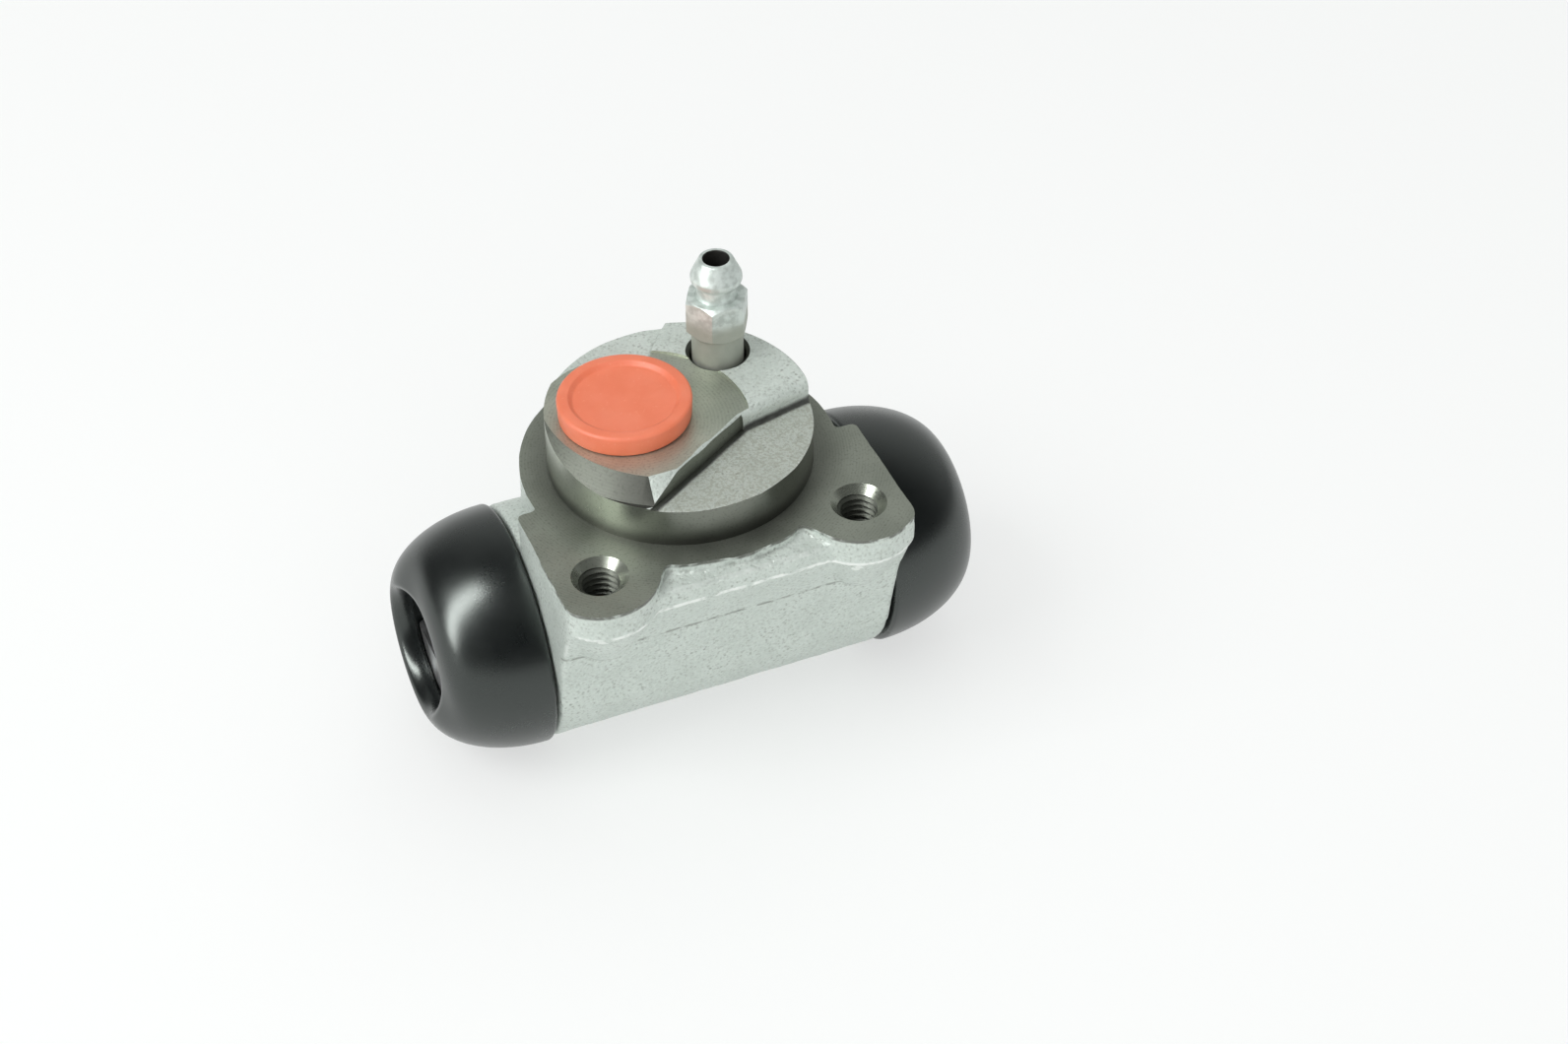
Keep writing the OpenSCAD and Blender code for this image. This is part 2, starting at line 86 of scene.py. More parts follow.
def sand_waves(points, wavelength, height, count=14):
    """The uneven skin that sand leaves on a casting, as a sum of random waves."""
    total = 0
    for way in chance.normal(size=(count, 3)):
        way *= 2 * math.pi / (wavelength * np.linalg.norm(way))
        total = total + np.sin(sum(p * w for p, w in zip(points, way)) + chance.uniform(0, 2 * math.pi))
    return total * height / math.sqrt(count)


def casting_field(x, y, z):
    """Distance from the raw casting's skin, negative inside it."""
    reach, span = np.hypot(x, y), np.abs(x)
    barrel = np.hypot(y, z - bore_z) - barrel_radius
    pad = trimmed(np.abs(y) - pad_half - pad_slope * (z - pad_bottom), pad_bottom - z, 0.4)
    barrel = merged(barrel, np.maximum(pad, z - pad_bottom - pad_height), 0.8)

    ragged = sand_waves((x, y, z), 9, 0.22) + sand_waves((x, y, z), 2.6, 0.13)
    shoulder = past_line(y, z, (strip_front + rim_top, rim_top), (strip_front, 0)) + ragged
    wall = trimmed(past_line(y, z, wall_foot, crease), shoulder, 0.6)
    wall = np.maximum(np.maximum(wall, y - strip_back), np.maximum(z - stock, wall_foot[1] - z))
    undercut = past_line(y, z, crease, (rim_front, flange_low))
    rim = trimmed(trimmed(rim_front - y, z - rim_top, 1.0), undercut, 0.5)
    rim = np.maximum(rim, y - rim_back)
    hollow = 0.3 + 1.5 * np.clip((z - flange_low + 2) / 3, 0, 1)
    body = merged(merged(wall, rim, hollow), barrel, 1.0)

    out, along = span - hole_x, y - hole_y
    flat = np.maximum(-out * math.sin(ear_side) - along * math.cos(ear_side) - ear_radius,
                      np.maximum(along - ear_radius, out * math.cos(ear_side) - along * math.sin(ear_side)))
    flat = np.maximum(flat, out)
    plan = np.minimum(np.hypot(out, along) - ear_radius, flat)
    ear = trimmed(plan, np.maximum(z - stock, flange_low - z), 0.8)
    growth = (ear_radius - ear_root) / (flange_low - crease[1])
    taper = (np.hypot(out, along) - ear_root - growth * (z - crease[1])) / math.hypot(1, growth)
    ear = merged(ear, np.maximum(np.maximum(taper, z - flange_low - 0.5), crease[1] - 0.2 - z), 0.3)
    body = merged(body, ear, 0.5)

    chipped = np.where(y < front_side, np.abs(ragged), 0)
    disc = trimmed(reach - disc_radius + chipped, np.maximum(z - stock, flange_low - z), 0.8)
    growth = (disc_radius - root_radius) / (flange_low - root_low)
    taper = (reach - root_radius - growth * (z - root_low)) / math.hypot(1, growth)
    disc = merged(disc, np.maximum(np.maximum(taper, z - flange_low - 0.5), root_low - z), 0.2)
    body = trimmed(merged(body, disc, 0.6), span - body_half, 1.0)

    boss = trimmed(reach - spigot_radius - boss_stock, z - spigot_top - skin_inset, 0.4)
    fronts = [(y - ledge_corner[1]) * math.cos(way) - (x - ledge_corner[0]) * math.sin(way)
              for way in ledge_ways]
    ledge = trimmed(trimmed(fronts[0], fronts[1], 0.4), ledge_z - z, 0.3)
    behind = (y - relief_y) * math.cos(relief_way) - x * math.sin(relief_way)
    around = np.hypot(x - port[0], y - port[1]) - port_pad
    relief = np.maximum(trimmed(trimmed(-behind, -around, 0.5), relief_z - z, 0.3), relief_front - y)
    boss = trimmed(trimmed(boss, -ledge, 1.6), -relief, 0.2)
    body = merged(body, np.maximum(boss, flange_low - z), 0.6)
    body = body + skin_inset + sand_waves((x, y, z), 6, 0.035) + sand_waves((x, y, z), 1.7, 0.018)
    return np.maximum(np.maximum(body, pad_bottom - z), np.maximum(front_limit - y, y - back_limit))


def skin(field, low, step):
    """Quads over a field's zero level: a point in each crossed cell, a quad on each crossed edge."""
    inside = field < 0
    cells = tuple(n - 1 for n in field.shape)
    total, hits = np.zeros((*cells, 3)), np.zeros(cells)
    for axis in range(3):
        sides = [a for a in range(3) if a != axis]
        for shift in ((0, 0), (0, 1), (1, 0), (1, 1)):
            start = [0, 0, 0]
            start[sides[0]], start[sides[1]] = shift
            end = list(start)
            end[axis] = 1
            near = field[tuple(slice(s, s + n) for s, n in zip(start, cells))]
            away = field[tuple(slice(s, s + n) for s, n in zip(end, cells))]
            crossed = (near < 0) != (away < 0)
            total[crossed] += start
            total[..., axis][crossed] += near[crossed] / (near[crossed] - away[crossed])
            hits += crossed
    active = hits > 0
    number = np.cumsum(active).reshape(cells) - 1
    points = (np.argwhere(active) + total[active] / hits[active][:, None]) * step + np.array(low)
    quads = []
    for axis in range(3):
        u, v = np.eye(3, dtype=int)[[(axis + 1) % 3, (axis + 2) % 3]]
        change = np.diff(inside.astype(int), axis=axis)
        for sign in (-1, 1):
            at = np.argwhere(change == sign)
            ring = [at - u - v, at - v, at, at - u]
            ring = ring if sign < 0 else ring[::-1]
            quads.append(np.stack([number[tuple(corner.T)] for corner in ring], axis=1))
    return points, np.concatenate(quads)


def new_piece(name, points, faces, *finishes):
    """A mesh object from points in millimetres."""
    mesh = bpy.data.meshes.new(name)
    mesh.from_pydata((np.asarray(points, float) * mm).tolist(), [], [list(map(int, face)) for face in faces])
    for finish in finishes:
        mesh.materials.append(finish)
    piece = bpy.data.objects.new(name, mesh)
    bpy.context.scene.collection.objects.link(piece)
    return piece


class Wire:
    """One socket of a finish's nodes; sums and products of wires become Math nodes."""

    def __init__(self, tree, socket=None):
        self.tree, self.socket = tree, socket

    def node(self, kind, settings, sockets, out=0):
        made = self.tree.nodes.new(kind)
        for name, value in settings.items():
            setattr(made, name, value)
        for name, value in sockets.items():
            if isinstance(value, Wire):
                self.tree.links.new(value.socket, made.inputs[name])
            else:
                made.inputs[name].default_value = value
        return Wire(self.tree, made.outputs[out] if made.outputs else None)

    def maths(self, operation, first, second=0.0):
        return self.node("ShaderNodeMath", {"operation": operation}, {0: first, 1: second})

    def __add__(self, other):
        return self.maths("ADD", self, other)

    def __sub__(self, other):
        return self.maths("SUBTRACT", self, other)

    def __rsub__(self, other):
        return self.maths("SUBTRACT", other, self)

    def __mul__(self, other):
        return self.maths("MULTIPLY", self, other)

    __radd__, __rmul__ = __add__, __mul__

    def step(self, low, high):
        """0 below low, 1 above high and a smooth rise between them."""
        return self.node("ShaderNodeMapRange", {"interpolation_type": "SMOOTHSTEP"},
                         {"Value": self, "From Min": low, "From Max": high})

    def tint(self, first, second):
        """The colour first where this wire is 0 and second where it is 1."""
        return self.node("ShaderNodeMix", {"data_type": "RGBA"}, {0: self, 6: first, 7: second}, 2)

    def place(self):
        return self.node("ShaderNodeTexCoord", {}, {}, "Object")

    def grain(self, size, detail=2.0):
        """Cloudy noise with features of about this size in millimetres."""
        return self.node("ShaderNodeTexNoise", {},
                         {"Vector": self.place(), "Scale": 1 / (size * mm), "Detail": detail})

    def pits(self, size):
        """Distance to the nearest of many scattered points, about this far apart in millimetres."""
        return self.node("ShaderNodeTexVoronoi", {}, {"Vector": self.place(), "Scale": 1 / (size * mm)})

    def beyond(self, start):
        """The way from a point in millimetres to the surface, in metres."""
        return self.node("ShaderNodeVectorMath", {"operation": "SUBTRACT"},
                         {0: self.place(), 1: [c * mm for c in start]})

    def dot(self, way):
        return self.node("ShaderNodeVectorMath", {"operation": "DOT_PRODUCT"}, {0: self, 1: way}, "Value")

    def along(self, x, y, z, start=(0, 0, 0)):
        """How far the surface lies from start, in metres, along the direction (x, y, z)."""
        return self.beyond(start).dot((x, y, z))

    def line(self, width):
        """1 where this wire, a length in metres, is near 0, fading out over a width in millimetres."""
        return 1 - self.maths("ABSOLUTE", self).step(width * mm * 0.35, width * mm)

    def radius(self, centre, keep):
        """Distance from an axis through centre, in metres; keep is 0 along the axis and 1 across it."""
        flat = self.node("ShaderNodeVectorMath", {"operation": "MULTIPLY"}, {0: self.beyond(centre), 1: keep})
        return self.node("ShaderNodeVectorMath", {"operation": "LENGTH"}, {0: flat}, "Value")

    def rings(self, pitch):
        """Tool marks: a wave along this wire, a length in metres, with a pitch in millimetres."""
        return self.maths("SINE", self * (2 * math.pi / (pitch * mm))) * 0.5 + 0.5

    def bump(self, height, strength=1.0):
        """Surface normals from this wire taken as a relief of this height in millimetres."""
        return self.node("ShaderNodeBump", {}, {"Height": self, "Distance": height * mm, "Strength": strength})

    def surface(self, sockets):
        shader = self.node("ShaderNodeBsdfPrincipled", {}, sockets)
        self.node("ShaderNodeOutputMaterial", {}, {"Surface": shader})


def new_finish(name):
    """An empty material, and a wire to build its nodes from."""
    finish = bpy.data.materials.new(name)
    finish.use_nodes = True
    finish.node_tree.nodes.clear()
    return finish, Wire(finish.node_tree)


raw_iron, wire = new_finish("raw_iron")
mottle = wire.grain(5.0, 4.0)
blast = wire.grain(0.42, 2.0)
patchy = wire.grain(1.6, 2.0)
specks = 1 - wire.pits(0.8).step(0.1, 0.34)
pointed = wire.node("ShaderNodeNewGeometry", {}, {}, "Pointiness")
coat = mottle.step(0.3, 0.7).tint((0.545, 0.605, 0.56, 1), (0.595, 0.655, 0.61, 1))
coat = (blast.step(0.52, 0.7) * 0.4).tint(coat, (0.72, 0.78, 0.73, 1))
coat = ((1 - blast.step(0.3, 0.46)) * 0.45).tint(coat, (0.28, 0.30, 0.27, 1))
coat = (specks * mottle.step(0.45, 0.6) * 0.5).tint(coat, (0.2, 0.215, 0.19, 1))
# Concave creases are painted darker, as shade.
coat = ((1 - pointed.step(0.44, 0.48)) * 0.5).tint(coat, (0.16, 0.17, 0.15, 1))
up, inwards = wire.along(0, 0, 1), wire.along(0, 1, 0)
at_front = 1 - inwards.step((front_side - 2) * mm, front_side * mm)
above_crease = up.step((crease[1] + 0.4) * mm, (crease[1] + 1.4) * mm)
# Convex edges at the front, above the crease, are lighter: wear, and a painted highlight.
worn_edge_highlight = pointed.step(0.518, 0.55) * at_front * above_crease
coat = (worn_edge_highlight * 0.8).tint(coat, (0.84, 0.88, 0.84, 1))
step_front = wire.maths("MAXIMUM", *[
    wire.along(-math.sin(way), math.cos(way), 0, (*ledge_corner, 0)) for way in ledge_ways])
ledge_level = up.step((ledge_z - 0.6) * mm, (ledge_z - 0.3) * mm)
on_ledge = (1 - step_front.step(-0.3 * mm, 0.3 * mm)) * ledge_level
coat = (on_ledge * (0.3 + blast.step(0.4, 0.6) * 0.45)).tint(coat, (0.29, 0.30, 0.245, 1))
# A painted shade line darkens the foot of the ledge's step.
step_foot_shade = (step_front + 0.1 * mm).line(0.75) * ledge_level
step_foot_shade = step_foot_shade * (1 - up.step((ledge_z + 0.2) * mm, (ledge_z + 1.0) * mm))
coat = (step_foot_shade * (0.75 + patchy * 0.4)).tint(coat, (0.035, 0.037, 0.033, 1))
# A painted shade line darkens the front wall's crease.
on_wall = 1 - inwards.step(strip_front * mm, (strip_front + 0.4) * mm)
crease_shade = (up - crease[1] * mm).line(0.4) * on_wall
coat = (crease_shade * patchy.step(0.4, 0.6) * 0.6).tint(coat, (0.12, 0.13, 0.11, 1))
# A painted shade line darkens the torn top edge at the front.
torn_edge_shade = (up + 0.15 * mm).line(0.5) * at_front
coat = (torn_edge_shade * patchy.step(0.3, 0.55) * 0.85).tint(coat, (0.07, 0.07, 0.055, 1))
# A painted highlight runs along the nose of the rim.
on_rim = 1 - inwards.step((rim_front + 0.3) * mm, (rim_front + 0.8) * mm)
nose_highlight = (up - flange_low * mm).line(0.5) * on_rim
coat = (nose_highlight * patchy.step(0.35, 0.6) * 0.85).tint(coat, (0.9, 0.93, 0.9, 1))
wire.surface({
    "Base Color": coat,
    "Metallic": 0.2,
    "Roughness": 0.4 + mottle * 0.1 + specks * 0.1,
    "Normal": (blast - specks * 0.6).bump(0.14, 0.7),
})

axes = [np.arange(low, high, grid_step) for low, high in zip(grid_low, grid_high)]
points, quads = skin(casting_field(*np.meshgrid(*axes, indexing="ij")), grid_low, grid_step)


# The casting is then machined bare: the flange and spigot are faced and turned in one setting, the port
# is spot-faced, the holes are drilled, tapped and countersunk, and the bore and boot necks are turned.
# The spigot also gets a slanted lead-in at its front left, and a milled riser behind its cast ledge.
spot, spot_radius, spot_z, chamfer = (-6.6, -1.0), 15.6, 8.8, 0.15
riser_skin, riser_groove, groove_sink, riser_stop = 0.4, 0.3, 0.12, 0.3
lead_centre, lead_radius, lead_flare, lead_over = (1.0, 4.0), 18.9, 1.1, 2.0
bevel_front, bevel_right, bevel_slope, bevel_over, bevel_reach = -12.0, -3.6, 0.833, 1.0, 8.0
lead_low, bevel_low = ledge_z + 0.1, ledge_z + 0.05
tap_major, tap_minor, tap_pitch, hole_depth, countersink = 3.0, 2.5, 1.0, 8.5, 3.9
port_major, port_minor, port_pitch, port_depth, mouth_bevel = 5.0, 4.5, 1.0, 12.0, 0.5
thread_start, drill_point, sink_over = 0.2, 1.5, 0.5
feed_radius, vent_radius = 1.5, 1.25
bleed, bleed_radius, seat_z = (9.4, 9.0), 4.05, -5.9
bore_radius, bore_chamfer, bore_flare, bore_stock = 10.3, 0.8, 1.0, 1.0
neck_end, neck_radius, neck_chamfer, neck_root = 32.25, 14.2, 0.6, 2.0
groove_start, groove_end, groove_radius = 27.25, 29.25, 13.0
clear = 30.0
middle, shade_tone = (0, 0, 0), (0.05, 0.05, 0.045, 1)


def machined_iron(name, centre, keep, pitch, shade=1.0, polish=0.36, film_and_shade=None, foot_shade=None):
    """Bare cut iron with tool marks round an axis, painted shade on its front right and painted shade at its foot.

    film_and_shade and foot_shade each give a strength and the two places, in millimetres, between which the
    painted shade comes or goes.
    """
    def tone(red, green, blue):
        return red * shade, green * shade, blue * shade, 1

    finish, wire = new_finish(name)
    distance = wire.radius(centre, keep)
    marks = (distance + wire.grain(9.0) * (0.3 * mm)).rings(pitch)
    cloud = wire.grain(6.0, 3.0)
    graphite = wire.grain(0.35, 2.0)
    metal = cloud.step(0.3, 0.7).tint(tone(0.265, 0.288, 0.242), tone(0.33, 0.355, 0.302))
    metal = (graphite.step(0.52, 0.7) * 0.5).tint(metal, tone(0.165, 0.175, 0.15))
    metal = (marks * 0.25).tint(metal, tone(0.385, 0.41, 0.355))
    # The front right side is painted darker, as shade.
    if film_and_shade:
        strength, start, end = film_and_shade
        shaded_side = wire.along(0.85, -0.5, 0).step(start * mm, end * mm) * (0.8 + cloud * 0.4)
        metal = (shaded_side * strength).tint(metal, shade_tone)
    # Near the foot it is painted darker, as shade.
    if foot_shade:
        strength, start, end = foot_shade
        metal = ((1 - distance.step(start * mm, end * mm)) * strength).tint(metal, shade_tone)
    wire.surface({
        "Base Color": metal,
        "Metallic": 0.85,
        "Roughness": polish + cloud * 0.16 + graphite * 0.06,
        "Normal": (marks + graphite * 0.3).bump(0.006, 0.6),
    })
    return finish


# The spigot wall and the lead-in are painted darker towards their front right, and the flange and wall near the
# spigot's foot, as shade.
iron = (
    raw_iron,
    machined_iron("turned_iron", middle, (1, 1, 0), 0.42, 1.08,
                  foot_shade=(0.42, spigot_radius + 0.5, disc_radius + 1.5)),
    machined_iron("spot_faced_iron", (*spot, 0), (1, 1, 0), 0.5, 1.6),
    machined_iron("bored_iron", (0, 0, bore_z), (1, 0, 0), 0.3),
    machined_iron("spigot_wall_iron", middle, (0, 0, 1), 0.3, 1.3, 0.2, (0.55, -14.0, 0.0), (0.75, 0.3, 2.8)),
    # Taps, the bleed drilling and the riser's groove floor are painted darker, as shade in the hollows.
    machined_iron("shaded_tapped_iron", middle, (0, 0, 1), 0.25, 0.4, 0.4),
    machined_iron("countersunk_iron", middle, (0, 0, 1), 0.2, 1.2, 0.16),
    machined_iron("milled_riser_iron", middle, (0, 0, 1), 0.5, 0.95, 0.5),
    machined_iron("lead_in_iron", middle, (0, 0, 1), 0.3, 0.57, 0.46, (0.72, -15.0, -2.0)),
)
raw, turned, spot_faced, bored, walled, shaded_tapped, sunk, milled, slanted = range(len(iron))


def revolved(profile, turns=128):
    """Points and faces of a closed profile of (radius, height) spun about the Z axis."""
    profile = np.asarray(profile, float)
    angles = np.linspace(0, 2 * math.pi, turns, endpoint=False)
    spun = np.array([[(r * math.cos(a), r * math.sin(a), h) for r, h in profile] for a in angles])
    n = len(profile)
    faces = [(i * n + k, (i + 1) % turns * n + k, (i + 1) % turns * n + (k + 1) % n, i * n + (k + 1) % n)
             for i in range(turns) for k in range(n)]
    return spun.reshape(-1, 3), faces


def upright(shape, centre):
    """A shape of points and faces, moved to stand on the mounting face's plane at centre."""
    points, faces = shape
    return np.asarray(points) + np.array([*centre, 0]), faces


def along_bore(shape, side=1):
    """A shape turned so that its Z axis runs outwards along the bore, to the right or the left."""
    points, faces = shape
    return np.stack([side * points[:, 2], points[:, 1], bore_z - points[:, 0]], axis=1), faces


def healed(piece):
    """Join the points that meet on an axis and turn every face outwards."""
    work = bmesh.new()
    work.from_mesh(piece.data)
    bmesh.ops.remove_doubles(work, verts=work.verts, dist=1e-7)
    bmesh.ops.dissolve_degenerate(work, edges=work.edges, dist=1e-7)
    bmesh.ops.recalc_face_normals(work, faces=work.faces)
    work.to_mesh(piece.data)
    work.free()
    return piece


def smoothed(piece, angle=32):
    """Smooth shading, with creases where faces meet at more than this angle."""
    piece.data.shade_smooth()
    piece.data.set_sharp_from_angle(angle=math.radians(angle))
    return piece


def threaded(minor, major, pitch, low, high, centre, turns=48, rise=5):
    """A tap: a rod with a screw thread, to be cut out of a piece."""
    angles = np.arange(turns) / turns
    levels = np.arange(math.ceil((high - low) / pitch * rise) + 1) * pitch / rise + low
    rings = []
    for level in levels:
        tooth = 1 - np.abs(2 * ((level / pitch - angles) % 1) - 1)
        size = minor + (major - minor) * np.clip(1.6 * tooth - 0.3, 0, 1)
        rings.append(np.stack([size * np.cos(2 * math.pi * angles), size * np.sin(2 * math.pi * angles),
                               np.full(turns, level)], axis=1))
    n = len(rings)
    faces = [(i * turns + k, i * turns + (k + 1) % turns,
              (i + 1) * turns + (k + 1) % turns, (i + 1) * turns + k)
             for i in range(n - 1) for k in range(turns)]
    faces += [tuple(range(turns))[::-1], tuple((n - 1) * turns + k for k in range(turns))]
    return upright((np.concatenate(rings), faces), centre)


def bar(section, start, along, across):
    """A straight bar, 2 * clear long, with a section given across it and in height from its start point."""
    ends = [[(start[0] + t * along[0] + u * across[0], start[1] + t * along[1] + u * across[1], h)
             for u, h in section] for t in (-clear, clear)]
    n = len(section)
    sides = [(k, (k + 1) % n, (k + 1) % n + n, k + n) for k in range(n)]
    return ends[0] + ends[1], [range(n), range(n, 2 * n), *sides]


def machine(body, name, shape, finish, upright_finish=None, operation="DIFFERENCE"):
    """Queue one cut or addition on the body; it leaves a finish, and may leave another on upright faces."""
    tool = healed(new_piece(name, *shape, *body.data.materials))
    for face in tool.data.polygons:
        face.material_index = finish if upright_finish is None or abs(face.normal.z) > 0.5 else upright_finish
    step = body.modifiers.new(name, "BOOLEAN")
    step.object, step.operation, step.solver = tool, operation, "MANIFOLD"


def machined(body):
    """Carry out the queued cuts and put their tools away."""
    cut = bpy.data.meshes.new_from_object(body.evaluated_get(bpy.context.evaluated_depsgraph_get()))
    tools = [step.object for step in body.modifiers]
    body.modifiers.clear()
    body.data = cut
    for tool in tools:
        bpy.data.objects.remove(tool)
    return body


housing = new_piece("housing_casting", points, quads, *iron)
machine(housing, "facing_cut", revolved([
    (spigot_radius, 0), (clear * 1.5, 0), (clear * 1.5, clear), (spigot_radius - chamfer, clear),
    (spigot_radius - chamfer, spigot_top), (spigot_radius, spigot_top - chamfer)], 256), turned, walled)
mill = revolved([(0, spot_z), (spot_radius, spot_z), (spot_radius, clear), (0, clear)], 192)
machine(housing, "spot_face_cut", upright(mill, spot), spot_faced)
way, (corner_x, corner_y), stop = ledge_ways[0], ledge_corner, clear + riser_stop
riser = bar([(-riser_skin, ledge_z - groove_sink), (riser_groove, ledge_z - groove_sink),
             (riser_groove, clear), (-riser_skin, clear)],
            (corner_x - stop * math.cos(way), corner_y - stop * math.sin(way)),
            (math.cos(way), math.sin(way)), (math.sin(way), -math.cos(way)))
machine(housing, "riser_cut", riser, shaded_tapped, milled)
lead = revolved([
    (lead_radius + lead_flare * (spot_z - lead_low), lead_low),
    (lead_radius - lead_flare * lead_over, spot_z + lead_over),
    (clear * 2, spot_z + lead_over), (clear * 2, lead_low)], 192)
machine(housing, "lead_in_cut", upright(lead, lead_centre), slanted)
bevel = bar([(-bevel_over, spot_z + bevel_slope * bevel_over), ((spot_z - bevel_low) / bevel_slope, bevel_low),
             (bevel_reach, bevel_low), (bevel_reach, clear), (-bevel_over, clear)],
            (bevel_right - clear, bevel_front), (1, 0), (0, -1))
machine(housing, "front_bevel", bevel, raw)
for side in (-1, 1):
    neck = revolved([
        (bore_radius - bore_stock, body_half - neck_root), (neck_radius, body_half - neck_root),
        (neck_radius, groove_start), (groove_radius, groove_start), (groove_radius, groove_end),
        (neck_radius, groove_end), (neck_radius, neck_end - neck_chamfer), (neck_radius - neck_chamfer, neck_end),
        (bore_radius - bore_stock, neck_end)])
    machine(housing, "boot_neck", along_bore(neck, side), bored, operation="UNION")
mouth, past = bore_radius + bore_chamfer + bore_flare, neck_end + bore_flare
bore = revolved([
    (0, -past), (mouth, -past), (bore_radius, -neck_end + bore_chamfer),
    (bore_radius, neck_end - bore_chamfer), (mouth, past), (0, past)])
machine(housing, "bore_cut", along_bore(bore), bored)
for side in (-1, 1):
    centre = (side * hole_x, hole_y)
    tap = threaded(tap_minor, tap_major, tap_pitch, -hole_depth, -thread_start, centre)
    machine(housing, "ear_tap", tap, shaded_tapped)
    sink = revolved([
        (0, -hole_depth - drill_point), (tap_minor, -hole_depth), (tap_minor, tap_minor - countersink),
        (countersink, 0), (countersink + sink_over, sink_over), (0, sink_over)], 64)
    machine(housing, "ear_drill", upright(sink, centre), sunk)
tap = threaded(port_minor, port_major, port_pitch, spot_z - port_depth, spot_z - thread_start, port, 64)
machine(housing, "port_tap", tap, shaded_tapped)
drill = revolved([
    (0, bore_z), (feed_radius, bore_z), (feed_radius, spot_z - port_depth - drill_point),
    (port_minor, spot_z - port_depth), (port_minor, spot_z - 2 * mouth_bevel), (port_major + mouth_bevel, spot_z),
    (port_major + mouth_bevel, clear), (0, clear)], 64)
machine(housing, "port_drill", upright(drill, port), bored)
drill = revolved([
    (0, bore_z), (vent_radius, bore_z), (vent_radius, seat_z - bleed_radius + vent_radius), (bleed_radius, seat_z),
    (bleed_radius, spigot_top - mouth_bevel), (bleed_radius + mouth_bevel, spigot_top),
    (bleed_radius + mouth_bevel, clear), (0, clear)], 64)
machine(housing, "bleed_drill", upright(drill, bleed), shaded_tapped)
smoothed(machined(housing))
for face in housing.data.polygons:
    level = abs(face.normal.z) >= 0.999
    face.use_smooth = face.material_index == raw or not level
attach(housing, "housing")
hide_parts("housing")


# Inside the bore a coil spring of drawn steel wire keeps the two cup seals apart. It is modelled as two
# halves, each running from the middle of the bore out towards its own piston.
coil_radius, wire_radius, half_turns, half_length = 4.9, 0.6, 3.5, 14.0
coil_rings, wire_sides = 28, 12

spring_wire, wire = new_finish("spring_wire")
drawn = wire.grain(0.5, 2.0)
wire.surface({
    "Base Color": drawn.tint((0.24, 0.25, 0.26, 1), (0.36, 0.37, 0.38, 1)),
    "Metallic": 1.0,
    "Roughness": 0.3 + drawn * 0.15,
    "Normal": drawn.bump(0.02, 0.3),
})

for side, body in ((-1, "left_piston"), (1, "right_piston")):
    steps = int(half_turns * coil_rings)
    points = []
    for i in range(steps + 1):
        turn = side * 2 * math.pi * half_turns * i / steps
        for k in range(wire_sides):
            roll = 2 * math.pi * k / wire_sides
            arm = coil_radius + wire_radius * math.cos(roll)
            points.append((side * half_length * i / steps + wire_radius * math.sin(roll),
                           arm * math.cos(turn), bore_z + arm * math.sin(turn)))
    faces = [(i * wire_sides + k, i * wire_sides + (k + 1) % wire_sides,
              (i + 1) * wire_sides + (k + 1) % wire_sides, (i + 1) * wire_sides + k)
             for i in range(steps) for k in range(wire_sides)]
    faces += [range(wire_sides), range(steps * wire_sides, (steps + 1) * wire_sides)]
    half = smoothed(healed(new_piece("return_spring_" + body.split("_")[0], points, faces, spring_wire)), 50)
    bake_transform(half)
    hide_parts("return_spring")


# Against each end of the spring sits a pressed, passivated sheet seat, and on it a moulded rubber cup
# seal with a lip towards the fluid. Behind each cup runs a turned aluminium piston, slotted for the shoe.
pressed_sheet, wire = new_finish("pressed_sheet")
bloom = wire.grain(2.0, 3.0)
wire.surface({
    "Base Color": bloom.step(0.3, 0.7).tint((0.42, 0.34, 0.15, 1), (0.52, 0.46, 0.27, 1)),
    "Metallic": 1.0,
    "Roughness": 0.28 + bloom * 0.2,
    "Normal": wire.grain(0.3).bump(0.01, 0.3),
})

seal_rubber, wire = new_finish("seal_rubber")
dust = wire.grain(1.5, 3.0)
wire.surface({
    "Base Color": dust.step(0.4, 0.7).tint((0.010, 0.011, 0.012, 1), (0.022, 0.023, 0.024, 1)),
    "Roughness": 0.5 + dust * 0.2,
    "Normal": wire.grain(0.25).bump(0.02, 0.4),
})

turned_aluminium, wire = new_finish("turned_aluminium")
feed = wire.radius((0, 0, bore_z), (1, 0, 0)).rings(0.28)
stain = wire.grain(3.0, 3.0)
wire.surface({
    "Base Color": stain.step(0.3, 0.75).tint((0.50, 0.505, 0.51, 1), (0.66, 0.665, 0.67, 1)),
    "Metallic": 1.0,
    "Roughness": 0.3 + stain * 0.18,
    "Normal": (feed + wire.grain(0.3) * 0.5).bump(0.01, 0.5),
})

for side in ("left", "right"):
    for kind, finish in (("spring_seat", pressed_sheet), ("cup_seal", seal_rubber),
                         ("piston", turned_aluminium)):
        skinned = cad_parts[side + "_" + kind].data
        skinned.materials.clear()
        skinned.materials.append(finish)


